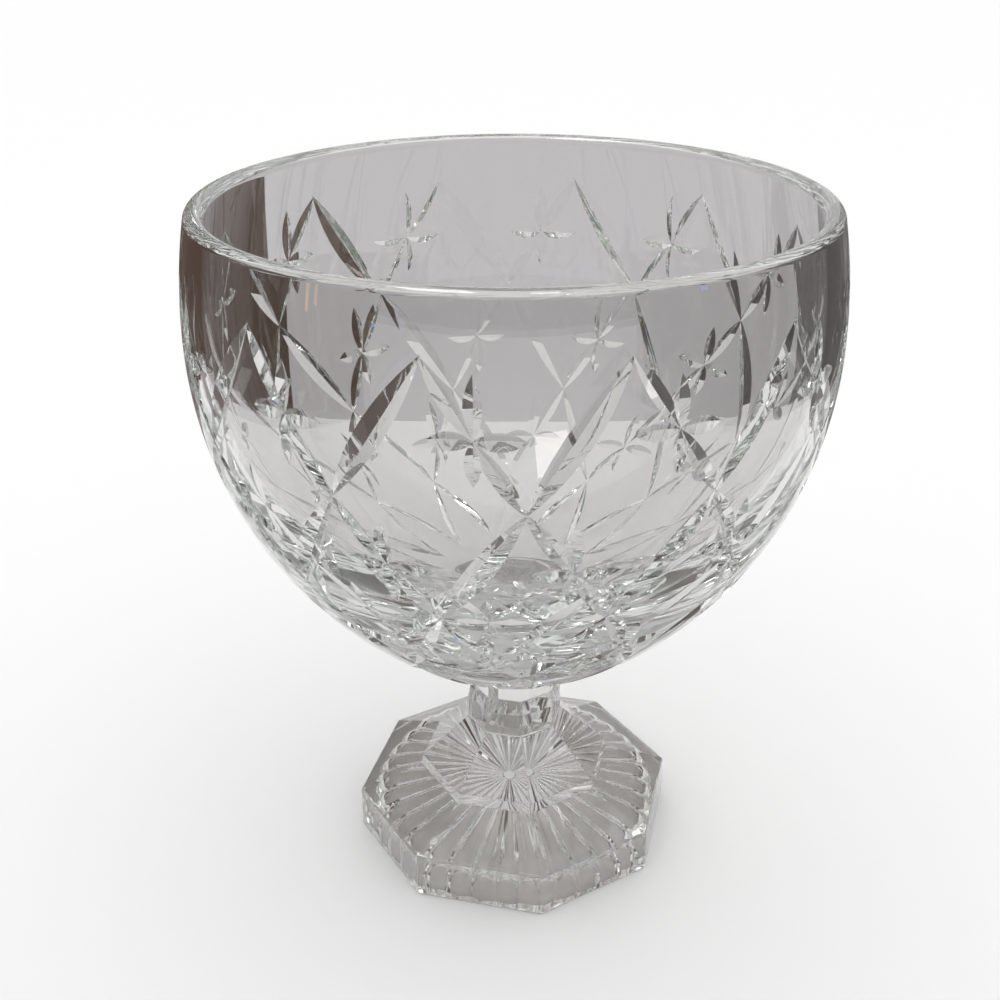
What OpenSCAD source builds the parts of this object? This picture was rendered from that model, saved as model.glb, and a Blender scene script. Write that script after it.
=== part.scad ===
// Cut crystal punch bowl on an octagonal pedestal foot.
// Three pieces: the cut bowl, the pressed foot with its stem, and the clear
// bond film that holds the bowl's ground seat to the top of the stem.
// Millimetres, +Z up, origin at the centre of the foot's resting face.

/* [Bowl] */
// Widest outside diameter of the bowl
bowl_d = 254; // [200:1:310]
// Height of the bowl from its ground seat to the rim
bowl_h = 206; // [165:1:250]
// How far the rim leans in from the widest line, on each side
rim_in = 5.3; // [2:0.1:10]
// Height of the rim above the widest line
rim_rise = 48.7; // [35:0.1:65]
// Thickness of the wall
wall_t = 7.7; // [6:0.1:11]
// Thickness of the floor over the seat
floor_t = 37; // [24:0.5:46]
// Slope of the wall where it leaves the seat, in degrees
seat_slope = 24.5; // [15:0.5:40]

/* [Cutting] */
// Number of cut peaks round the bowl
peaks = 12; // [8:1:16]
// Rows of diamonds down the bowl
rows = 4; // [2:1:4]
// Plain band from the rim to the peaks, measured along the wall
plain_band = 21; // [12:1:35]
// Plain band from the lowest crossings to the seat, measured along the wall
seat_band = 22; // [14:1:40]
// Included angle of the cutting wheel, in degrees
mitre_angle = 120; // [90:1:130]
// Depth of the cuts where two of them cross
cross_depth = 0.3; // [0.1:0.05:0.8]

/* [Foot] */
// Height of the foot and its stem
foot_h = 84; // [76:1:104]
// Distance across the foot's flats
foot_af = 132; // [112:1:160]
// Height of the foot's upright side
foot_side = 20.2; // [16:0.1:25]
// Inward draft of the upright side
side_draft = 0.2; // [0:0.1:2]
// Chamfer round the resting face
foot_chamfer = 1; // [0.5:0.1:2]
// Distance across the flats of the crown, the raised inner octagon
crown_af = 79.6; // [66:0.1:96]
// Height of the crown's edge
crown_z = 31.2; // [26:0.1:37]
// Height of the step that edges the crown
crown_step = 4.3; // [2:0.1:6]
// How far the crown's step leans in
crown_draft = 0.8; // [0.2:0.1:2]
// Height at which the stem rises from the crown
stem_z = 55.6; // [47:0.1:60]
// How far the stem's base stands out past the neck, on each side
stem_flare = 1.2; // [0.4:0.1:3]
// Height of the stem's base, from where it rises
stem_base_h = 11; // [6:0.5:13]
// Height over which the base narrows to the neck
stem_taper_h = 7; // [4:0.5:9]
// Distance across the flats of the neck
neck_af = 36.4; // [30:0.1:44]

/* [Underside] */
// Flutes on each of the eight sides
flutes_per_side = 4; // [2:1:5]
// Width of the resting ring at the middle of a side, where it is narrowest
ring_w = 5; // [3:0.5:9]
// How far the hollow's wall leans in over the height of the hollow
hollow_lean = 3; // [1:0.5:6]
// How far a ridge between two flutes stands out from the hollow's wall
scallop = 2.2; // [0.5:0.1:3]
// Height of the flutes' crests at the centre
dome_h = 17; // [10:0.5:20]
// Fall of the flutes' crests for each millimetre from the centre
crest_fall = 0.09; // [0.04:0.01:0.16]
// Depth of a flute for each millimetre from the centre
flute_depth = 0.045; // [0.02:0.005:0.06]
// Radius of the plain button at the centre
button_r = 3; // [2:0.5:5]

/* [Bond] */
// Thickness of the bond film
bond_t = 0.2; // [0.1:0.05:0.4]
// Width that the ground seat shows past the stem's corners
seat_margin = 0.8; // [0.4:0.1:2]

/* [Hidden] */
$fn = 96;
SIDES = 8;
FINE = 240;
// Slack by which a cutting shape passes the surface that it cuts
CLEAR = 3;
// Height of a mitre cutter above its edge, more than any cut's depth
CUTTER_H = 12;
// Steps across a flute, and round the whole hollow
FLUTE_STEPS = 8;
HOLLOW_STEPS = SIDES * flutes_per_side * FLUTE_STEPS;
stem_base_af = neck_af + 2 * stem_flare;
seat_r = neck_af / 2 / cos(180 / SIDES) + seat_margin;
bowl_z = foot_h + bond_t;
belly_r = bowl_d / 2;
belly_z = bowl_h - rim_rise;

// An arc is [centre, radius]. The outline of each wall face is three arcs that
// run smoothly into each other: rim to widest line, then a lower pair.

// Radius of the arc through p, with direction t there, that also passes q
function arc_r(p, t, q) = norm(q - p) ^ 2 / (2 * cross(t, q - p));
function arc_c(p, t, q) = p + arc_r(p, t, q) * [-t[1], t[0]];

// Point where two arcs that join p1 to p2 with the directions t1 and t2 meet
function biarc_joint(p1, t1, p2, t2) =
    let (v = p2 - p1, s = t1 + t2, a = 2 * (1 - t1 * t2),
         d = (-v * s + sqrt((v * s) ^ 2 + a * (v * v))) / a)
    (p1 + p2 + d * (t1 - t2)) / 2;

// The three arcs of one wall face, top one first, with the height of the joint:
// [top arc, belly arc, low arc, joint]
function wall_arcs(r, z, end, end_slope) =
    let (p = [r, z], down = [0, -1], t = [-cos(end_slope), -sin(end_slope)],
         j = biarc_joint(p, down, end, t),
         top_r = (rim_in ^ 2 + rim_rise ^ 2) / (2 * rim_in))
    [[[r - top_r, z], top_r],
     [arc_c(p, down, j), abs(arc_r(p, down, j))],
     [arc_c(end, -t, j), abs(arc_r(end, -t, j))],
     j];

OUTER = wall_arcs(belly_r, belly_z, [seat_r, 0], seat_slope);
INNER = wall_arcs(belly_r - wall_t, belly_z, [0, floor_t], 0);

// The lip is the circle that touches both top arcs and reaches the rim's height
lip_k = 2 * OUTER[0][1] / wall_t;
lip_r = (rim_rise + sqrt(rim_rise ^ 2 + lip_k ^ 2 * (OUTER[0][1] ^ 2 - rim_rise ^ 2 - wall_t ^ 2 / 4)))
    / lip_k ^ 2;
lip_c = [OUTER[0][0][0] - wall_t / 2 + lip_k * lip_r, bowl_h - lip_r];
function touch_at(arc) = arc[0] + arc[1] * (lip_c - arc[0]) / norm(lip_c - arc[0]);

// Angles that the outer arcs turn through, and their lengths
top_turn = asin(rim_rise / OUTER[0][1]);
belly_turn = atan2(belly_z - OUTER[3][1], OUTER[3][0] - OUTER[1][0][0]);
low_turn = 90 - seat_slope - belly_turn;
top_len = OUTER[0][1] * top_turn * PI / 180;
belly_len = OUTER[1][1] * belly_turn * PI / 180;
low_len = OUTER[2][1] * low_turn * PI / 180;
row_pitch = (top_len + belly_len + low_len - plain_band - seat_band) / rows;

// The outline's normal angle below the horizontal, s along the wall from the rim
function slope_at(s) =
    s < top_len ? (s - top_len) / OUTER[0][1] * 180 / PI
    : s < top_len + belly_len ? (s - top_len) / OUTER[1][1] * 180 / PI
    : belly_turn + (s - top_len - belly_len) / OUTER[2][1] * 180 / PI;
function arc_at(s) = s < top_len ? OUTER[0] : s < top_len + belly_len ? OUTER[1] : OUTER[2];

// Point [r, z] on the outer outline, and the outward normal in space
function outline_at(s) = let (a = slope_at(s), c = arc_at(s)) c[0] + c[1] * [cos(a), -sin(a)];
function on_wall(s, turn) = let (p = outline_at(s)) [p[0] * cos(turn), p[0] * sin(turn), p[1]];
function normal_at(s, turn) =
    let (a = slope_at(s)) [cos(a) * cos(turn), cos(a) * sin(turn), -sin(a)];

// Matrix that lays X along "along", Z as near to "out" as it can, origin at p
function frame_at(p, along, out) =
    let (x = along / norm(along), y0 = cross(out, x), y = y0 / norm(y0), z = cross(x, y))
    [[x[0], y[0], z[0], p[0]], [x[1], y[1], z[1], p[1]], [x[2], y[2], z[2], p[2]], [0, 0, 0, 1]];

// Part of a circle's disc that lies between two heights, right of the axis
module disc_band(arc, low, high) {
    intersection() {
        translate(arc[0]) circle(arc[1], $fn = FINE);
        translate([0, low]) square([bowl_d, high - low]);
    }
}

// Area right of the axis and inside one wall face, from its lowest point up to high
module wall_area(arcs, low, mid, high) {
    disc_band(arcs[2], low, arcs[3][1]);
    disc_band(arcs[1], arcs[3][1], mid);
    disc_band(arcs[0], mid, high);
}

module bowl_section() {
    outside = touch_at(OUTER[0]);
    inside = touch_at(INNER[0]);
    intersection() {
        difference() {
            wall_area(OUTER, 0, belly_z, bowl_h);
            wall_area(INNER, floor_t, belly_z, bowl_h);
        }
        polygon([[0, 0], [bowl_d, 0], [bowl_d, outside[1]], outside, inside, [0, inside[1]]]);
    }
    translate(lip_c) circle(lip_r);
}

// A straight mitre cut whose edge runs from a to b, sunk by cross_depth
module mitre_cut(a, b, out) {
    half = CUTTER_H * tan(mitre_angle / 2);
    length = norm(b - a) + 2 * CLEAR;
    multmatrix(frame_at((a + b) / 2 - cross_depth * out, b - a, out))
        rotate([90, 0, 90]) linear_extrude(length, center = true)
            polygon([[0, 0], [half, CUTTER_H], [-half, CUTTER_H]]);
}

step = 360 / peaks;

// Rows of crossing mitre cuts that lean to one side, +1 or -1
module lattice(lean) {
    for (row = [0 : rows - 1], k = [0 : peaks - 1]) {
        s = plain_band + row * row_pitch;
        turn = step * (k + lean * row / 2);
        mitre_cut(on_wall(s, turn), on_wall(s + row_pitch, turn + lean * step / 2),
                  normal_at(s + row_pitch / 2, turn + lean * step / 4));
    }
}

module bowl() {
    color([0.86, 0.88, 0.9, 0.45]) translate([0, 0, bowl_z]) difference() {
        rotate_extrude($fn = FINE) bowl_section();
        lattice(1);
        lattice(-1);
    }
}

module bond_film() {
    color([0.8, 0.9, 0.95, 0.6]) translate([0, 0, foot_h]) rotate([0, 0, 180 / SIDES])
        cylinder(bond_t, d = neck_af / cos(180 / SIDES), $fn = SIDES);
}

// Right half of the foot's side view, across the flats
foot_side_view = [
    [foot_af / 2 - foot_chamfer, 0], [foot_af / 2, foot_chamfer],
    [foot_af / 2 - side_draft, foot_side], [crown_af / 2, crown_z],
    [crown_af / 2 - crown_draft, crown_z + crown_step], [stem_base_af / 2, stem_z],
    [stem_base_af / 2, stem_z + stem_base_h],
    [neck_af / 2, stem_z + stem_base_h + stem_taper_h], [neck_af / 2, foot_h]];
function reversed(list) = [for (i = [len(list) - 1 : -1 : 0]) list[i]];

// An octagonal solid: where four bars with the same side view cross
module foot_block() {
    intersection_for (k = [0 : SIDES / 2 - 1])
        rotate([90, 0, 360 * k / SIDES]) linear_extrude(2 * foot_af, center = true)
            polygon(concat(foot_side_view, reversed([for (p = foot_side_view) [-p[0], p[1]]])));
}

// The hollow under the foot: a scalloped wall, which leans in, under a fluted cone.
// Across a flute, a runs from -1 to 1 with the crest at 0.
lean = hollow_lean / (foot_af / 2 - ring_w) / dome_h;
function wall_r(a) = foot_af / 2 - ring_w - scallop * a ^ 2;
function cone_fall(a) = crest_fall + flute_depth * a ^ 2;
// Height at which the wall meets the cone
function eaves_z(a) = (dome_h - wall_r(a) * cone_fall(a)) / (1 - lean * wall_r(a) * cone_fall(a));
// Point of the wall at a height, for the k-th step round the hollow
function across(k) = 2 * ((k + FLUTE_STEPS / 2) % FLUTE_STEPS) / FLUTE_STEPS - 1;
function wall_point(k, z) = let (r = wall_r(across(k)) * (1 - lean * z), turn = 360 * k / HOLLOW_STEPS)
    [r * cos(turn), r * sin(turn), z];

module foot_hollow() {
    all = [0 : HOLLOW_STEPS - 1];
    low = [for (k = all) wall_point(k, -CLEAR)];
    high = [for (k = all) wall_point(k, eaves_z(across(k)))];
    walls = [for (k = all) let (next = (k + 1) % HOLLOW_STEPS)
        [k, k + HOLLOW_STEPS, next + HOLLOW_STEPS, next]];
    cone = [for (k = all) [(k + 1) % HOLLOW_STEPS + HOLLOW_STEPS, k + HOLLOW_STEPS, 2 * HOLLOW_STEPS]];
    polyhedron(concat(low, high, [[0, 0, dome_h]]), concat([[for (k = all) k]], walls, cone));
    cylinder(2 * dome_h, r = button_r, center = true);
}

module pedestal_foot() {
    color([0.8, 0.82, 0.84, 0.5]) difference() {
        foot_block();
        foot_hollow();
    }
}

bowl();
bond_film();
pedestal_foot();
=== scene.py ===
"""Looks of the cut crystal punch bowl: wheel-cut bowl, fluted octagonal foot, clear bond.

Metres, +Z up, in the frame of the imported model. The bowl is a revolved wall from which
V-edged cutters are taken away, as a cutting wheel does; the foot is one grid of rounded
octagons over a fluted hollow.
"""

import math

import bpy
import numpy as np
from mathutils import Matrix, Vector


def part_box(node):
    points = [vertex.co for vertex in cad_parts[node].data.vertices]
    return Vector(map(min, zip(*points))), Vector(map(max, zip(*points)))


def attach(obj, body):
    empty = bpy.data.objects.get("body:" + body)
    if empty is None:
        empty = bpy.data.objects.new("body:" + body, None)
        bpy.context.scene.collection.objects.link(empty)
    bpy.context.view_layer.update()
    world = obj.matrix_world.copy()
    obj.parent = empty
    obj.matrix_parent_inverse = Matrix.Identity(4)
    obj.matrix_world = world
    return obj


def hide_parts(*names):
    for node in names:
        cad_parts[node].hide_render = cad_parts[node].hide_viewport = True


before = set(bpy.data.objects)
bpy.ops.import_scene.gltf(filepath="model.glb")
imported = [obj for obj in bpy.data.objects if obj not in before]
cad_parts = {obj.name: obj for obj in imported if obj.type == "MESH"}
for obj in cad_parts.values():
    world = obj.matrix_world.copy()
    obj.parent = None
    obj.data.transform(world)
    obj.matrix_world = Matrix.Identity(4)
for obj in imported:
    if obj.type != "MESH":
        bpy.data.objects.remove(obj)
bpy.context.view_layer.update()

MM = 0.001
SIDES = 8
HALF_SIDE = math.pi / SIDES

# Places that come from the frame
bowl_low, bowl_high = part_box("bowl")
film_low, film_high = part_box("bond_film")
foot_low, foot_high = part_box("pedestal_foot")
SEAT_Z = bowl_low.z
RIM_Z = bowl_high.z
BELLY_R = bowl_high.x
NECK_W = film_high.x
FOOT_TOP = foot_high.z
FOOT_W = foot_high.x

# The bowl's wall
RIM_IN = 5.3 * MM
RIM_RISE = 48.7 * MM
WALL = 7.7 * MM
FLOOR = 37 * MM
SEAT_SLOPE = math.radians(24.5)
SEAT_MARGIN = 0.8 * MM
SEAT_R = NECK_W / math.cos(HALF_SIDE) + SEAT_MARGIN
SEAT_CORNER = 0.3 * MM
BELLY_Z = RIM_Z - RIM_RISE

# The cut pattern
PEAKS = 12
ROWS = 4
PLAIN_BAND = 21 * MM
SEAT_BAND = 22 * MM
FLANK = math.radians(60)
CROSS_DEPTH = 0.22 * MM
LONG_DEPTH = 2.5 * MM
HALF_DEPTH = 1.5 * MM
STAR_UP = (21 * MM, 1.6 * MM)
STAR_DOWN = (17 * MM, 1.5 * MM)
STAR_SIDE = (16 * MM, 1.7 * MM)
HAND_SPREAD = (0.84, 1.08)  # shortest and longest arm of a star, as shares
LONG_SECTIONS = 15
SHORT_SECTIONS = 9
POLISHED, CUT, BONDED = 0, 1, 2  # kinds of face, as the crystal material reads them

# The foot: half widths across the flats and heights
FOOT_SIDE_Z = 20.2 * MM
FOOT_CHAMFER = 1 * MM
DRAFT = 0.2 * MM
CROWN_W = 39.8 * MM
CROWN_Z = 31.2 * MM
CROWN_STEP = 4.3 * MM
CROWN_DRAFT = 0.8 * MM
STEM_W = 19.4 * MM
STEM_Z = 55.6 * MM
STEM_BASE_H = 11 * MM
STEM_TAPER_H = 7 * MM
NECK_CORNER = 0.9 * MM
FOOT_CORNER = 1.6 * MM

# The fluted hollow under the foot
FLUTES = 32
HOLLOW_R = 61 * MM
HOLLOW_LEAN = 3 * MM
SCALLOP = 2.2 * MM
DOME_H = 17 * MM
CREST_FALL = 0.09
FLUTE_DEPTH = 0.045
SHOULDER = 9 * MM
BUTTON_R = 3 * MM
RIDGE_SOFT = 0.82


# ---- outlines -------------------------------------------------------------------------

def arc_from(p, t, q):
    """Centre and radius of the circle that leaves p in the direction t and passes q."""
    chord = q - p
    turn = t[0] * chord[1] - t[1] * chord[0]
    radius = chord @ chord / (2 * turn)
    return p + radius * np.array([-t[1], t[0]]), abs(radius)


def smooth_joint(p1, t1, p2, t2):
    """Where two arcs meet that leave p1 along t1, reach p2 along t2 and share a tangent.

    The joint is the middle of p1 + d t1 and p2 - d t2, with the d that makes the two
    tangent lengths equal, from a quadratic.
    """
    v, s, a = p2 - p1, t1 + t2, 2 * (1 - t1 @ t2)
    d = (-(v @ s) + math.sqrt((v @ s) ** 2 + a * (v @ v))) / a
    return (p1 + p2 + d * (t1 - t2)) / 2


def wall_face(radius, end, end_slope):
    """Top, belly and low arc of one face of the wall, each (centre, radius), and their joint.

    The top arc has its widest point on the belly line and leans in by RIM_IN at the rim.
    The belly and low arcs run smoothly from there to the end point.
    """
    wide, down = np.array([radius, BELLY_Z]), np.array([0.0, -1.0])
    t = np.array([-math.cos(end_slope), -math.sin(end_slope)])
    joint = smooth_joint(wide, down, end, t)
    top_r = (RIM_IN ** 2 + RIM_RISE ** 2) / (2 * RIM_IN)
    top = (np.array([radius - top_r, BELLY_Z]), top_r)
    return top, arc_from(wide, down, joint), arc_from(end, -t, joint), joint


OUTER = wall_face(BELLY_R, np.array([SEAT_R, SEAT_Z]), SEAT_SLOPE)
INNER = wall_face(BELLY_R - WALL, np.array([0.0, SEAT_Z + FLOOR]), 0.0)


def lip_circle():
    """The circle that touches both top arcs and reaches the rim's height."""
    (centre, top_r), k = OUTER[0], 2 * OUTER[0][1] / WALL
    inside = top_r ** 2 - RIM_RISE ** 2 - WALL ** 2 / 4
    radius = (RIM_RISE + math.sqrt(RIM_RISE ** 2 + k * k * inside)) / (k * k)
    return np.array([centre[0] - WALL / 2 + k * radius, RIM_Z - radius]), radius


LIP = lip_circle()


def angle_to(circle, point):
    """Angle of a point seen from a circle's centre."""
    return math.atan2(point[1] - circle[0][1], point[0] - circle[0][0])


def arc_points(circle, start, stop, count, side=1):
    """Points along a circle from one angle to another, as rows r, z, normal r, normal z."""
    a = np.linspace(start, stop, count)
    unit = np.stack([np.cos(a), np.sin(a)], 1)
    return np.hstack([circle[0] + circle[1] * unit, side * unit])


def touch_angle(face):
    """Angle at which the lip's circle touches a face's top arc."""
    return angle_to(face[0], LIP[0])


BELLY_TURN = -angle_to(OUTER[1], OUTER[3])
LOW_TURN = math.pi / 2 - SEAT_SLOPE - BELLY_TURN
TOP_LEN = OUTER[0][1] * math.asin(RIM_RISE / OUTER[0][1])
BELLY_LEN = OUTER[1][1] * BELLY_TURN
LOW_LEN = OUTER[2][1] * LOW_TURN
ROW_PITCH = (TOP_LEN + BELLY_LEN + LOW_LEN - PLAIN_BAND - SEAT_BAND) / ROWS


def on_outline(s):
    """Outer outline at arc length s below the rim: r, z and the normal's angle below level."""
    s = np.asarray(s, float)
    top, belly = s < TOP_LEN, (s >= TOP_LEN) & (s < TOP_LEN + BELLY_LEN)
    fall = np.where(top, (s - TOP_LEN) / OUTER[0][1],
                    np.where(belly, (s - TOP_LEN) / OUTER[1][1],
                             BELLY_TURN + (s - TOP_LEN - BELLY_LEN) / OUTER[2][1]))
    centre = np.where(top[:, None], OUTER[0][0],
                      np.where(belly[:, None], OUTER[1][0], OUTER[2][0]))
    radius = np.where(top, OUTER[0][1], np.where(belly, OUTER[1][1], OUTER[2][1]))
    return centre[:, 0] + radius * np.cos(fall), centre[:, 1] - radius * np.sin(fall), fall


# ---- meshes ---------------------------------------------------------------------------

def mesh_object(name, points, faces, materials=()):
    """A mesh object at the origin, from an array of points and a list of faces."""
    mesh = bpy.data.meshes.new(name)
    mesh.from_pydata(points.tolist(), [], faces)
    for material in materials:
        mesh.materials.append(material)
    made = bpy.data.objects.new(name, mesh)
    bpy.context.scene.collection.objects.link(made)
    return made


def mark_surfaces(made, kinds):
    """Stores each face's kind for the crystal material, and sets every face to the first material slot."""
    mesh = made.data
    surface = mesh.attributes.new("surface", "FLOAT", "FACE")
    surface.data.foreach_set("value", kinds.astype(np.float32))
    mesh.polygons.foreach_set("material_index", np.zeros(len(mesh.polygons), np.int32))


def grid_quads(rows, columns):
    """Quads between successive rings of a grid that closes on itself sideways."""
    i, j = np.meshgrid(np.arange(rows - 1), np.arange(columns), indexing="ij")
    k = (j + 1) % columns
    low, high = i * columns, (i + 1) * columns
    return np.stack([low + j, low + k, high + k, high + j], -1).reshape(-1, 4)


def rounded_octagon(turn, width, corner):
    """Distance to a rounded octagon and its normal's turn, for each turn about the axis.

    width is half the distance across the flats. On a flat the distance is width over the
    cosine of the turn from the flat's middle; at a corner it is where the ray leaves the
    corner's circle.
    """
    near = (turn + HALF_SIDE) % (2 * HALF_SIDE) - HALF_SIDE
    middle = turn - near
    size, sign = np.abs(near), np.sign(near)
    reach = (width - corner) / math.cos(HALF_SIDE)
    gap = HALF_SIDE - size
    root = np.sqrt(np.maximum(corner ** 2 - (reach * np.sin(gap)) ** 2, 0))
    flat = width * np.tan(size) <= (width - corner) * math.tan(HALF_SIDE)
    r = np.where(flat, width / np.cos(size), reach * np.cos(gap) + root)
    x, y = r * np.cos(size) - reach * math.cos(HALF_SIDE), r * np.sin(size) - reach * math.sin(HALF_SIDE)
    lean = np.where(flat, 0, np.arctan2(y, x))
    return r, middle + sign * lean


# ---- the bowl -------------------------------------------------------------------------

COLUMNS = 320
OUTER_ROWS = (30, 28, 20)  # points on the low, belly and top arcs
INNER_ROWS = (14, 24, 24)  # points on the top, belly and low arcs
LIP_ROWS = 17
CUT_EDGE = math.radians(14)
SAME_SURFACE = 0.97  # cosine between a face and the turned surface it lies on


def bowl_outline():
    """Closed half outline of the wall from the seat's edge up, over the lip and down inside."""
    tops = touch_angle(OUTER), touch_angle(INNER)
    inner_turn = -angle_to(INNER[1], INNER[3])
    low, belly, top = OUTER_ROWS
    outside = [arc_points(OUTER[2], -BELLY_TURN - LOW_TURN, -BELLY_TURN, low),
               arc_points(OUTER[1], -BELLY_TURN, 0, belly)[1:],
               arc_points(OUTER[0], 0, tops[0], top)[1:]]
    lip = arc_points(LIP, tops[0], tops[1] + math.pi, LIP_ROWS)[1:]
    top, belly, low = INNER_ROWS
    inside = [arc_points(INNER[0], tops[1], 0, top, -1)[1:],
              arc_points(INNER[1], 0, -inner_turn, belly, -1)[1:],
              arc_points(INNER[2], -inner_turn, -math.pi / 2, low, -1)[1:-1]]
    return np.vstack(outside + [lip] + inside)


def bowl_blank(materials):
    """The uncut bowl: the outline turned about the axis, closed by the seat and the floor.

    Within the seat an octagonal ring, the size of the neck, bounds the bonded contact.
    """
    turn = np.arange(COLUMNS) * 2 * math.pi / COLUMNS
    outline = bowl_outline()
    neck = rounded_octagon(turn, NECK_W, SEAT_CORNER)[0]
    r = np.vstack([neck * 0.5, neck, np.repeat(outline[:, :1], COLUMNS, 1)])
    z = np.concatenate([[SEAT_Z, SEAT_Z], outline[:, 1]])
    ring = np.stack([r * np.cos(turn), r * np.sin(turn), np.repeat(z[:, None], COLUMNS, 1)], -1)
    points = np.vstack([ring.reshape(-1, 3), [[0, 0, SEAT_Z], [0, 0, SEAT_Z + FLOOR]]])
    rows = len(z)
    seat_pole, floor_pole = rows * COLUMNS, rows * COLUMNS + 1
    j = np.arange(COLUMNS)
    k = (j + 1) % COLUMNS
    last = (rows - 1) * COLUMNS
    faces = grid_quads(rows, COLUMNS).tolist()
    faces += np.stack([k, j, np.full(COLUMNS, seat_pole)], 1).tolist()
    faces += np.stack([last + j, last + k, np.full(COLUMNS, floor_pole)], 1).tolist()
    made = mesh_object("bowl_cut_crystal", points, faces, materials)
    slots = np.full(len(faces), POLISHED, np.int32)
    slots[:COLUMNS] = BONDED
    slots[last:last + COLUMNS] = BONDED
    made.data.polygons.foreach_set("material_index", slots)
    return made


CUTTER_RISE = 4 * MM  # how far a cutter stands out of the wall
OVERRUN = 0.04  # how far it runs past each end of its path, as a share


def cutter(s0, turn0, s1, turn1, depth, sections):
    """One V-edged cutter, from a point on the wall to another: its points and faces.

    The path is straight in the map of wall length s against turn. Its edge lies under the
    wall by depth times 1 - (2u - 1)^2, plus CROSS_DEPTH, so the cut is a leaf that is
    widest half way; the flanks rise from the edge at FLANK to the wall's normal.
    """
    u = np.linspace(-OVERRUN, 1 + OVERRUN, sections)
    s, turn = s0 + (s1 - s0) * u, turn0 + (turn1 - turn0) * u
    r, z, fall = on_outline(s)
    place = np.stack([r * np.cos(turn), r * np.sin(turn), z], 1)
    normal = np.stack([np.cos(fall) * np.cos(turn), np.cos(fall) * np.sin(turn), -np.sin(fall)], 1)
    along = np.gradient(place, axis=0)
    side = np.cross(along, normal)
    side /= np.linalg.norm(side, axis=1)[:, None]
    sunk = (depth * (1 - (2 * u - 1) ** 2) + CROSS_DEPTH)[:, None]
    half = (CUTTER_RISE + sunk) * math.tan(FLANK)
    top = place + CUTTER_RISE * normal
    points = np.stack([place - sunk * normal, top + half * side, top - half * side], 1).reshape(-1, 3)
    i = np.arange(sections - 1)[:, None] * 3
    walls = np.stack([np.stack([i[:, 0] + a, i[:, 0] + 3 + a, i[:, 0] + 3 + b, i[:, 0] + b], 1)
                      for a, b in ((0, 1), (1, 2), (2, 0))], 1).reshape(-1, 4)
    end = (sections - 1) * 3
    return points, walls.tolist() + [[0, 1, 2], [end + 2, end + 1, end]]


def cutter_group(name, paths, materials):
    """Cutters that don't meet one another, joined into one object whose faces count as cut."""
    points, faces, first = [], [], 0
    for path in paths:
        p, f = cutter(*path)
        points.append(p)
        faces += [[first + v for v in face] for face in f]
        first += len(p)
    made = mesh_object(name, np.vstack(points), faces, materials)
    made.data.polygons.foreach_set("material_index", np.full(len(faces), CUT, np.int32))
    return made


def cut_paths():
    """Every cut of the pattern, as groups of paths that don't meet.

    Long cuts lean one way, from each crossing to the next row's. Those that lean the other
    way stop half way at a star, except in the last row, and each star has four arms whose
    lengths differ a little, as hand cutting leaves them.
    """
    step = 2 * math.pi / PEAKS
    hand = np.random.default_rng(11)
    groups = {name: [] for name in
              ("left_a", "left_b", "right_a", "right_b", "right_c", "up", "down", "arm_a", "arm_b")}
    for row in range(ROWS):
        s = PLAIN_BAND + row * ROW_PITCH
        for k in range(PEAKS):
            left, right = step * (k - row / 2), step * (k + row / 2)
            groups["left_a" if row % 2 else "left_b"].append(
                (s, left, s + ROW_PITCH, left - step / 2, LONG_DEPTH, LONG_SECTIONS))
            if row == ROWS - 1:
                groups["right_c"].append(
                    (s, right, s + ROW_PITCH, right + step / 2, LONG_DEPTH, LONG_SECTIONS))
                continue
            star, turn = s + ROW_PITCH / 2, right + step / 4
            side = STAR_SIDE[0] / float(on_outline([star])[0][0])
            reach = hand.uniform(*HAND_SPREAD, 4)
            ends = {"right_b": (s + ROW_PITCH, right + step / 2, HALF_DEPTH),
                    "up": (star - reach[0] * STAR_UP[0], turn, STAR_UP[1]),
                    "down": (star + reach[1] * STAR_DOWN[0], turn, STAR_DOWN[1]),
                    "arm_a": (star, turn + reach[2] * side, STAR_SIDE[1]),
                    "arm_b": (star, turn - reach[3] * side, STAR_SIDE[1])}
            groups["right_a"].append((s, right, star, turn, HALF_DEPTH, SHORT_SECTIONS))
            for name, end in ends.items():
                groups[name].append((star, turn, *end, SHORT_SECTIONS))
    return groups


def cut_bowl(blank, materials):
    """Takes every group of cutters away from the blank, then applies the result."""
    tools = [cutter_group(name, paths, materials) for name, paths in cut_paths().items()]
    for tool in tools:
        cut = blank.modifiers.new(tool.name, "BOOLEAN")
        cut.operation, cut.solver, cut.object = "DIFFERENCE", "MANIFOLD", tool
    bpy.context.view_layer.update()
    depsgraph = bpy.context.evaluated_depsgraph_get()
    cut_mesh = bpy.data.meshes.new_from_object(blank.evaluated_get(depsgraph))
    blank.modifiers.clear()
    blank.data = cut_mesh
    for tool in tools:
        bpy.data.objects.remove(tool)
    return blank


def wall_normals(points):
    """Normals of the uncut surfaces nearest to the points: away from or towards the arcs'
    centres on the outer, inner and lip surfaces, and straight down on the seat."""
    r = np.hypot(points[:, 0], points[:, 1])
    flat = np.stack([r, points[:, 2]], 1)
    best = np.abs(points[:, 2] - SEAT_Z)
    best[r > SEAT_R + 1e-6] = 1
    normal = np.tile([0.0, -1.0], (len(points), 1))
    for circle, side in [(c, 1) for c in OUTER[:3]] + [(c, -1) for c in INNER[:3]] + [(LIP, 1)]:
        away = flat - circle[0]
        size = np.linalg.norm(away, axis=1)
        gap = np.abs(size - circle[1])
        nearer = gap < best
        best = np.where(nearer, gap, best)
        normal = np.where(nearer[:, None], side * away / np.maximum(size, 1e-9)[:, None], normal)
    r = np.maximum(r, 1e-9)
    return np.stack([normal[:, 0] * points[:, 0] / r, normal[:, 0] * points[:, 1] / r, normal[:, 1]], 1)


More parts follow.
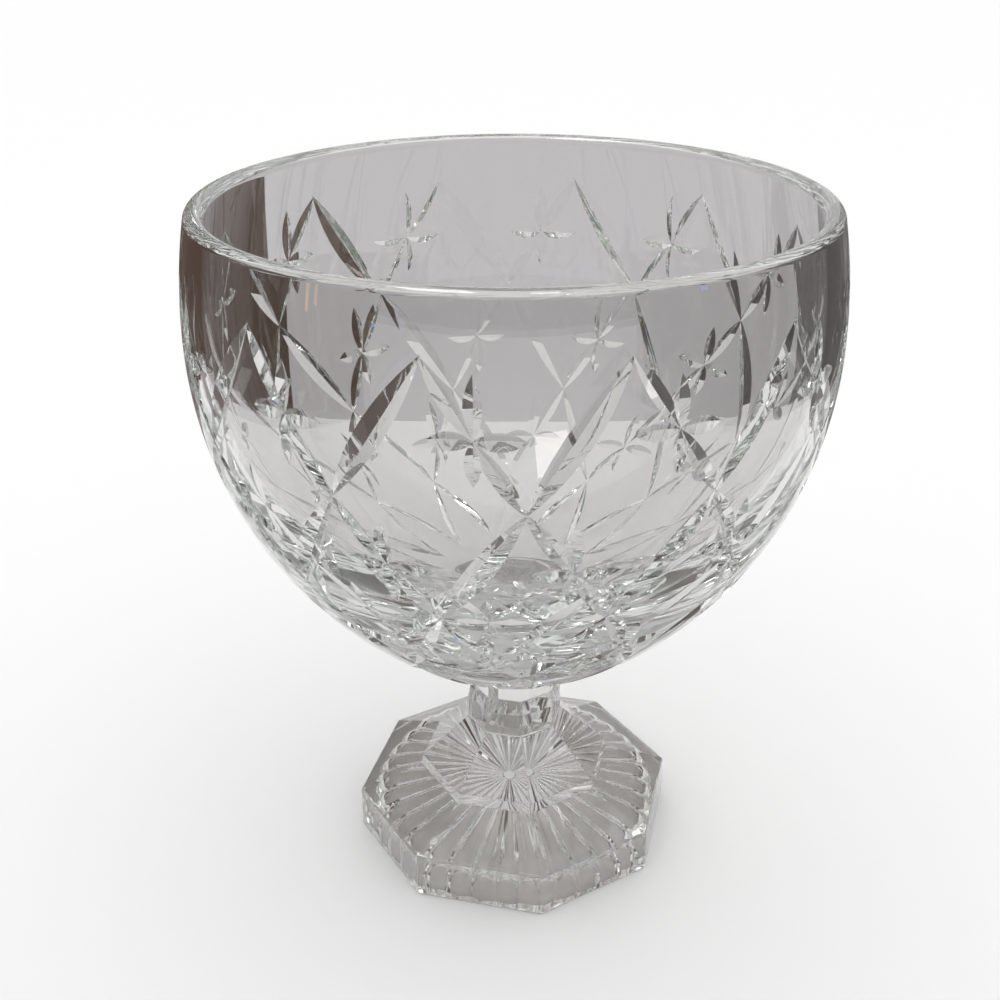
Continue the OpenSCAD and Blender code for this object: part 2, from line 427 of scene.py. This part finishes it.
def read(collection, name, width, kind=np.float32):
    """One value of every item of a mesh collection, as an array."""
    values = np.zeros(len(collection) * width, kind)
    collection.foreach_get(name, values)
    return values.reshape(-1, width) if width > 1 else values


def shade_bowl(made, material):
    """True normals on the turned surfaces, and crisp edges round each cut."""
    mesh = made.data
    kinds = read(mesh.polygons, "material_index", 1, np.int32)
    mesh.polygons.foreach_set("use_smooth", np.ones(len(mesh.polygons), bool))
    mesh.set_sharp_from_angle(angle=CUT_EDGE)
    normals = read(mesh.corner_normals, "vector", 3)
    place = read(mesh.vertices, "co", 3)[read(mesh.loops, "vertex_index", 1, np.int32)]
    corners = read(mesh.polygons, "loop_total", 1, np.int32)
    kind = np.repeat(kinds, corners)
    face_normal = np.repeat(read(mesh.polygons, "normal", 3), corners, axis=0)
    true = wall_normals(place)
    good = (kind != CUT) & ((true * face_normal).sum(1) > SAME_SURFACE)
    normals[good] = true[good]
    mesh.normals_split_custom_set(normals.tolist())
    mark_surfaces(made, kinds)
    mesh.materials.clear()
    mesh.materials.append(material)


# ---- the foot -------------------------------------------------------------------------

def rounded_path(points, radii, steps=5):
    """A polyline with its corners rounded: rows of width, height and the normal's two parts.

    Each corner becomes an arc of its radius that touches both sides. The normal is on the
    right of the direction of travel, and turns evenly along the arc.
    """
    points = np.array(points, float)
    rows = []
    for i, radius in enumerate(radii):
        before = points[i] - points[i - 1] if i else None
        after = points[i + 1] - points[i] if i + 1 < len(points) else None
        a = None if before is None else math.atan2(before[1], before[0])
        b = None if after is None else math.atan2(after[1], after[0])
        if a is None or b is None:
            angle = (b if a is None else a) - math.pi / 2
            rows.append([*points[i], math.cos(angle), math.sin(angle)])
            continue
        bend = (b - a + math.pi) % (2 * math.pi) - math.pi
        cut = radius * math.tan(abs(bend) / 2)
        start = points[i] - cut * before / np.linalg.norm(before)
        side = math.copysign(1, bend)
        centre = start + side * radius * np.array([-math.sin(a), math.cos(a)])
        for t in np.linspace(0, bend, steps):
            n = np.array([math.sin(a + t), -math.cos(a + t)])
            rows.append([*(centre + side * radius * n), *n])
    return np.array(rows)


def foot_columns():
    """Turns of the grid's columns: even along each side, and closer together at its corners."""
    even = np.arange(-24, 24) / 24 * HALF_SIDE
    near = np.radians([-0.6, -0.42, -0.28, -0.15, 0.15, 0.28, 0.42, 0.6])
    side = np.concatenate([even, -HALF_SIDE + near])
    return np.sort(np.concatenate([side + 2 * HALF_SIDE * k for k in range(SIDES)]))


def flute(turn):
    """Share of a flute's depth at each turn: a parabola from the crest that rounds over
    near the ridge between two flutes."""
    size = np.abs(2 * ((turn * FLUTES / (2 * math.pi) + 0.5) % 1) - 1)
    bend = RIDGE_SOFT / (1 - RIDGE_SOFT)
    return np.where(size <= RIDGE_SOFT, size ** 2, RIDGE_SOFT - bend * (1 - size) ** 2)


def foot_hollow(turn):
    """Rings of the hollow from the centre button out to the resting face, and their normals.

    The fluted ceiling falls with the radius r as DOME_H - r (CREST_FALL + FLUTE_DEPTH share).
    The wall's foot is HOLLOW_R - SCALLOP share out, and a crest's wall leans in by
    HOLLOW_LEAN over DOME_H. Where the two lines meet, an arc of radius SHOULDER touches both.
    """
    share = flute(turn)
    fall = CREST_FALL + FLUTE_DEPTH * share
    foot_r = HOLLOW_R - SCALLOP * share
    lean = HOLLOW_LEAN / DOME_H * foot_r / HOLLOW_R
    z = (DOME_H - foot_r * fall) / (1 - lean * fall)
    r = foot_r - lean * z
    bend = np.arctan2(1, lean) - np.arctan(fall)
    cut = SHOULDER * np.tan(bend / 2)
    low = np.arctan(fall)
    centre_r = r - cut * np.cos(low) - SHOULDER * np.sin(low)
    centre_z = z + cut * np.sin(low) - SHOULDER * np.cos(low)
    rows = []
    for u in np.linspace(0, 1, 20):
        reach = BUTTON_R + (r - cut * np.cos(low) - BUTTON_R) * u
        rows.append((reach, DOME_H - reach * fall))
    for u in np.linspace(0, 1, 9)[1:]:
        angle = math.pi / 2 - low - bend * u
        rows.append((centre_r + SHOULDER * np.cos(angle), centre_z + SHOULDER * np.sin(angle)))
    touch_r, touch_z = rows[-1]
    for u in np.linspace(0, 1, 6)[1:]:
        rows.append((touch_r + (foot_r - touch_r) * u, touch_z * (1 - u)))
    points = np.array([np.stack([a * np.cos(turn), a * np.sin(turn), b], 1) for a, b in rows])
    down = np.gradient(points, axis=0)
    along = np.roll(points, -1, 1) - np.roll(points, 1, 1)
    normal = np.cross(along, down)
    return list(points), list(normal / np.linalg.norm(normal, axis=2)[:, :, None])


def foot_mesh(material):
    """The foot as one closed grid, from the button under it, out and up to the neck's top."""
    turn = foot_columns()
    columns = len(turn)
    down = np.tile([0.0, 0.0, -1.0], (columns, 1))
    button = np.stack([0.85 * BUTTON_R * np.cos(turn), 0.85 * BUTTON_R * np.sin(turn),
                       np.full(columns, DOME_H)], 1)
    hollow, hollow_n = foot_hollow(turn)
    inward = -np.stack([np.cos(turn), np.sin(turn), 0.3 * np.ones(columns)], 1)
    path = rounded_path(
        [(FOOT_W - 6 * MM, 0), (FOOT_W, 0), (FOOT_W - DRAFT, FOOT_SIDE_Z), (CROWN_W, CROWN_Z),
         (CROWN_W - CROWN_DRAFT, CROWN_Z + CROWN_STEP), (STEM_W, STEM_Z), (STEM_W, STEM_Z + STEM_BASE_H),
         (NECK_W, STEM_Z + STEM_BASE_H + STEM_TAPER_H), (NECK_W, FOOT_TOP)],
        [0, FOOT_CHAMFER, 1.6 * MM, 0.7 * MM, 0.9 * MM, 1.2 * MM, 3 * MM, 5 * MM, 0])
    path = path[1:]
    corner = np.interp(path[:, 0], [NECK_W, FOOT_W], [NECK_CORNER, FOOT_CORNER])
    sides, sides_n = [], []
    for (w, z, nw, nz), c in zip(path, corner):
        r, lean = rounded_octagon(turn, w, c)
        sides.append(np.stack([r * np.cos(turn), r * np.sin(turn), np.full(columns, z)], 1))
        sides_n.append(np.stack([nw * np.cos(lean), nw * np.sin(lean), np.full(columns, nz)], 1))
    rings = np.array([button] + hollow + sides)
    # normals of each strip of faces, at its first and its second ring
    first = [inward] + hollow_n[:-1] + [down] + sides_n[:-1]
    second = [inward] + hollow_n[1:] + [down] + sides_n[1:]
    points = np.vstack([rings.reshape(-1, 3), [[0, 0, DOME_H], [0, 0, FOOT_TOP]]])
    rows = len(rings)
    j = np.arange(columns)
    k = (j + 1) % columns
    last = (rows - 1) * columns
    quads = grid_quads(rows, columns)
    low_cap = np.stack([k, j, np.full(columns, rows * columns)], 1)
    top_cap = np.stack([last + j, last + k, np.full(columns, rows * columns + 1)], 1)
    made = mesh_object("foot_pressed_crystal", points,
                       quads.tolist() + low_cap.tolist() + top_cap.tolist(), [material])
    mesh = made.data
    kinds = np.full(len(mesh.polygons), POLISHED, np.int32)
    kinds[len(quads) + columns:] = BONDED
    mark_surfaces(made, kinds)
    first, second = np.array(first), np.array(second)
    corners = np.stack([first[:, j], first[:, k], second[:, k], second[:, j]], 2).reshape(-1, 3)
    caps = np.repeat([[0, 0, -1.0], [0, 0, 1.0]], 3 * columns, axis=0)
    normals = np.vstack([corners, caps])
    mesh.polygons.foreach_set("use_smooth", np.ones(len(mesh.polygons), bool))
    mesh.normals_split_custom_set((normals / np.linalg.norm(normals, axis=1)[:, None]).tolist())
    return made


# ---- materials ------------------------------------------------------------------------

LEAD_GLASS_IOR = 1.545
ABSORPTION = 10.0
BODY_COLOUR = (0.885, 0.9, 0.888, 1)
WHEEL_MARKS = 450.0  # scale of the marks on cut faces, in features to a metre


def absorb(tree):
    """Faint grey-green absorption in the body of the glass."""
    volume = tree.nodes.new("ShaderNodeVolumeAbsorption")
    volume.inputs["Color"].default_value = BODY_COLOUR
    volume.inputs["Density"].default_value = ABSORPTION
    tree.links.new(volume.outputs["Volume"], tree.nodes["Material Output"].inputs["Volume"])


def principled(name, **sockets):
    """A material with its Principled BSDF's sockets set by name."""
    made = bpy.data.materials.new(name)
    made.use_nodes = True
    shader = made.node_tree.nodes["Principled BSDF"]
    for socket, value in sockets.items():
        shader.inputs[socket.replace("_", " ")].default_value = value
    return made, made.node_tree, shader


def object_noise(tree, scale, detail):
    """Noise on object coordinates."""
    place = tree.nodes.new("ShaderNodeTexCoord")
    noise = tree.nodes.new("ShaderNodeTexNoise")
    noise.inputs["Scale"].default_value = scale
    noise.inputs["Detail"].default_value = detail
    tree.links.new(place.outputs["Object"], noise.inputs["Vector"])
    return noise


def crystal(name, tint, wave_scale, wave_height, mark_height):
    """Clear lead crystal with a faintly wavy polished surface.

    Cut faces carry fine wheel marks. Bonded faces are clear, since light crosses the joint
    without bending.
    """
    made, tree, shader = principled(name, Base_Color=(*tint, 1), Roughness=0.0, IOR=LEAD_GLASS_IOR,
                                    Transmission_Weight=1.0)
    kind = tree.nodes.new("ShaderNodeAttribute")
    kind.attribute_name = "surface"
    noise, marks = object_noise(tree, wave_scale, 1.0), object_noise(tree, WHEEL_MARKS, 2.0)
    is_cut, is_bond = tree.nodes.new("ShaderNodeMath"), tree.nodes.new("ShaderNodeMath")
    is_cut.operation, is_bond.operation = "COMPARE", "GREATER_THAN"
    is_cut.inputs[1].default_value, is_cut.inputs[2].default_value = CUT, 0.3
    is_bond.inputs[1].default_value = (CUT + BONDED) / 2
    for test in (is_cut, is_bond):
        tree.links.new(kind.outputs["Fac"], test.inputs[0])
    height = tree.nodes.new("ShaderNodeMath")
    height.operation = "MULTIPLY"
    tree.links.new(marks.outputs["Fac"], height.inputs[0])
    tree.links.new(is_cut.outputs["Value"], height.inputs[1])
    wave, mark = tree.nodes.new("ShaderNodeBump"), tree.nodes.new("ShaderNodeBump")
    wave.inputs["Distance"].default_value, mark.inputs["Distance"].default_value = wave_height, mark_height
    tree.links.new(noise.outputs["Fac"], wave.inputs["Height"])
    tree.links.new(height.outputs["Value"], mark.inputs["Height"])
    tree.links.new(wave.outputs["Normal"], mark.inputs["Normal"])
    tree.links.new(mark.outputs["Normal"], shader.inputs["Normal"])
    clear, mix = tree.nodes.new("ShaderNodeBsdfTransparent"), tree.nodes.new("ShaderNodeMixShader")
    tree.links.new(is_bond.outputs["Value"], mix.inputs["Fac"])
    tree.links.new(shader.outputs["BSDF"], mix.inputs[1])
    tree.links.new(clear.outputs["BSDF"], mix.inputs[2])
    tree.links.new(mix.outputs["Shader"], tree.nodes["Material Output"].inputs["Surface"])
    absorb(tree)
    return made


def bond_clear():
    """Cured clear adhesive, nearly invisible between two ground faces."""
    return principled("bond_clear", Base_Color=(0.9, 0.92, 0.94, 1), Alpha=0.06, Roughness=0.3)[0]


FILM_EDGE = 0.01 * MM
FILM_GAP = 0.02 * MM


def bond_mesh():
    """The bond film, a hair thinner than the gap so that its faces don't meet the glass."""
    count = 96
    turn = np.arange(count) * 2 * math.pi / count
    r = rounded_octagon(turn, NECK_W, NECK_CORNER)[0] - FILM_EDGE
    rim = np.stack([r * np.cos(turn), r * np.sin(turn)], 1)
    rings = [np.hstack([rim, np.full((count, 1), z)])
             for z in (film_low.z + FILM_GAP, film_high.z - FILM_GAP)]
    caps = [list(range(count - 1, -1, -1)), list(range(count, 2 * count))]
    return mesh_object("bond_film_clear", np.vstack(rings), grid_quads(2, count).tolist() + caps,
                       [bond_clear()])


crystal_cut = crystal("crystal_wheel_cut", (0.795, 0.788, 0.778), 28, 0.02 * MM, 0.0006 * MM)
crystal_pressed = crystal("crystal_pressed", (0.905, 0.89, 0.87), 40, 0.04 * MM, 0.0)

kinds_of_face = [bpy.data.materials.new(name) for name in ("polished", "cut", "bonded")]
bowl = cut_bowl(bowl_blank(kinds_of_face), kinds_of_face)
shade_bowl(bowl, crystal_cut)
foot = foot_mesh(crystal_pressed)
film = bond_mesh()

for piece, node, slot in ((bowl, "bowl", "cut_crystal"), (foot, "pedestal_foot", "pressed_crystal"),
                          (film, "bond_film", "bond")):
    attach(piece, "root")
    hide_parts(node)


# ---- stage, light and camera ----------------------------------------------------------

AZIMUTH = math.radians(13.3)
AWAY = np.array([-math.sin(AZIMUTH), math.cos(AZIMUTH)])
ACROSS = np.array([math.cos(AZIMUTH), math.sin(AZIMUTH)])
CAMERA_D = 0.494
CAMERA_H = 0.405
PITCH = math.radians(26.19)
LENS = 47.3
SHIFT = -0.0145
BOUNCES = 64  # the cuts and flutes pass light on many times


def emission(name, colour, strength):
    """A plain glowing card's material."""
    made = bpy.data.materials.new(name)
    made.use_nodes = True
    tree = made.node_tree
    tree.nodes.clear()
    glow = tree.nodes.new("ShaderNodeEmission")
    glow.inputs["Color"].default_value = (*colour, 1)
    glow.inputs["Strength"].default_value = strength
    out = tree.nodes.new("ShaderNodeOutputMaterial")
    tree.links.new(glow.outputs["Emission"], out.inputs["Surface"])
    return made


def card(name, corners, colour, strength):
    """A flat card outside the picture, that only the crystal sees."""
    made = mesh_object(name, np.array(corners, float), [list(range(len(corners)))],
                       [emission(name, colour, strength)])
    made.visible_camera = False
    made.visible_shadow = False
    made.visible_diffuse = False
    return made


def upright(across0, across1, away, low, high):
    """Corners of an upright card square to the view."""
    def spot(a, z):
        x, y = ACROSS * a + AWAY * away
        return (x, y, z)
    return [spot(across0, low), spot(across1, low), spot(across1, high), spot(across0, high)]


def level(across0, across1, away0, away1, height):
    """Corners of a level card."""
    return [(*(ACROSS * a + AWAY * b), height)
            for a, b in ((across0, away0), (across1, away0), (across1, away1), (across0, away1))]


def sideways(across, away0, away1, low, high):
    """Corners of an upright card beside the object."""
    spots = [ACROSS * across + AWAY * away for away in (away0, away1)]
    return [(*spots[0], low), (*spots[1], low), (*spots[1], high), (*spots[0], high)]


FLOOR_HALF = 12.0
FLOOR_DROP = 0.2 * MM


def add_floor():
    """A wide pale floor, a hair under the foot."""
    material = principled("floor_pale", Base_Color=(0.93, 0.93, 0.93, 1), Roughness=0.9)[0]
    corners = FLOOR_HALF * np.array([(-1, -1, 0), (1, -1, 0), (1, 1, 0), (-1, 1, 0)], float)
    floor = mesh_object("floor", corners, [[0, 1, 2, 3]], [material])
    floor.location.z = -FLOOR_DROP


add_floor()

card("backdrop_grey", upright(-0.9, 0.9, 0.385, 0.0, 1.2), (0.64, 0.625, 0.65), 1.0)
card("backdrop_dark", upright(-0.9, -0.184, 0.38, 0.0, 1.2), (0.10, 0.068, 0.055), 1.0)
card("backdrop_dark_right", upright(0.268, 0.9, 0.38, 0.0, 0.55), (0.11, 0.10, 0.10), 1.0)
card("lamp_overhead", level(-0.46, -0.16, -0.42, 0.08, 1.35), (1.0, 0.97, 0.96), 9.0)
card("side_dark_right", sideways(0.62, 0.35, -0.8, 0.0, 0.5), (0.09, 0.085, 0.085), 1.0)
card("side_dark_left", sideways(-0.6, 0.28, -0.6, 0.0, 0.42), (0.10, 0.075, 0.065), 1.0)
card("glint_blue", upright(0.5, 0.56, -0.35, 0.3, 0.42), (0.08, 0.25, 1.0), 3.0)
card("glint_amber", upright(-0.62, -0.56, -0.3, 0.25, 0.37), (1.0, 0.5, 0.06), 3.0)

WORLD_LOW, WORLD_HIGH = 0.12, 1.56


def add_world():
    """Soft white light that grows from the horizon to straight overhead."""
    world = bpy.data.worlds.new("studio")
    bpy.context.scene.world = world
    world.use_nodes = True
    sky = world.node_tree
    background = sky.nodes["Background"]
    background.inputs["Color"].default_value = (1, 1, 1, 1)
    facing = sky.nodes.new("ShaderNodeTexCoord")
    split = sky.nodes.new("ShaderNodeSeparateXYZ")
    shade = sky.nodes.new("ShaderNodeMapRange")
    shade.inputs["To Min"].default_value = WORLD_LOW
    shade.inputs["To Max"].default_value = WORLD_HIGH
    sky.links.new(facing.outputs["Generated"], split.inputs["Vector"])
    sky.links.new(split.outputs["Z"], shade.inputs["Value"])
    sky.links.new(shade.outputs["Result"], background.inputs["Strength"])


add_world()


def add_camera():
    """The camera: level across, pitched down, aimed along the view's azimuth."""
    data = bpy.data.cameras.new("camera")
    data.sensor_width = 36
    data.lens = LENS
    data.shift_x = SHIFT
    made = bpy.data.objects.new("camera", data)
    bpy.context.scene.collection.objects.link(made)
    made.location = (*(-AWAY * CAMERA_D), CAMERA_H)
    made.rotation_euler = (math.pi / 2 - PITCH, 0, AZIMUTH)
    bpy.context.scene.camera = made


add_camera()
scene = bpy.context.scene
scene.view_settings.view_transform = "Standard"
scene.cycles.max_bounces = BOUNCES
scene.cycles.transmission_bounces = BOUNCES
scene.cycles.glossy_bounces = BOUNCES
scene.cycles.transparent_max_bounces = 16
scene.cycles.caustics_reflective = False
scene.cycles.caustics_refractive = True
scene.cycles.blur_glossy = 0.5
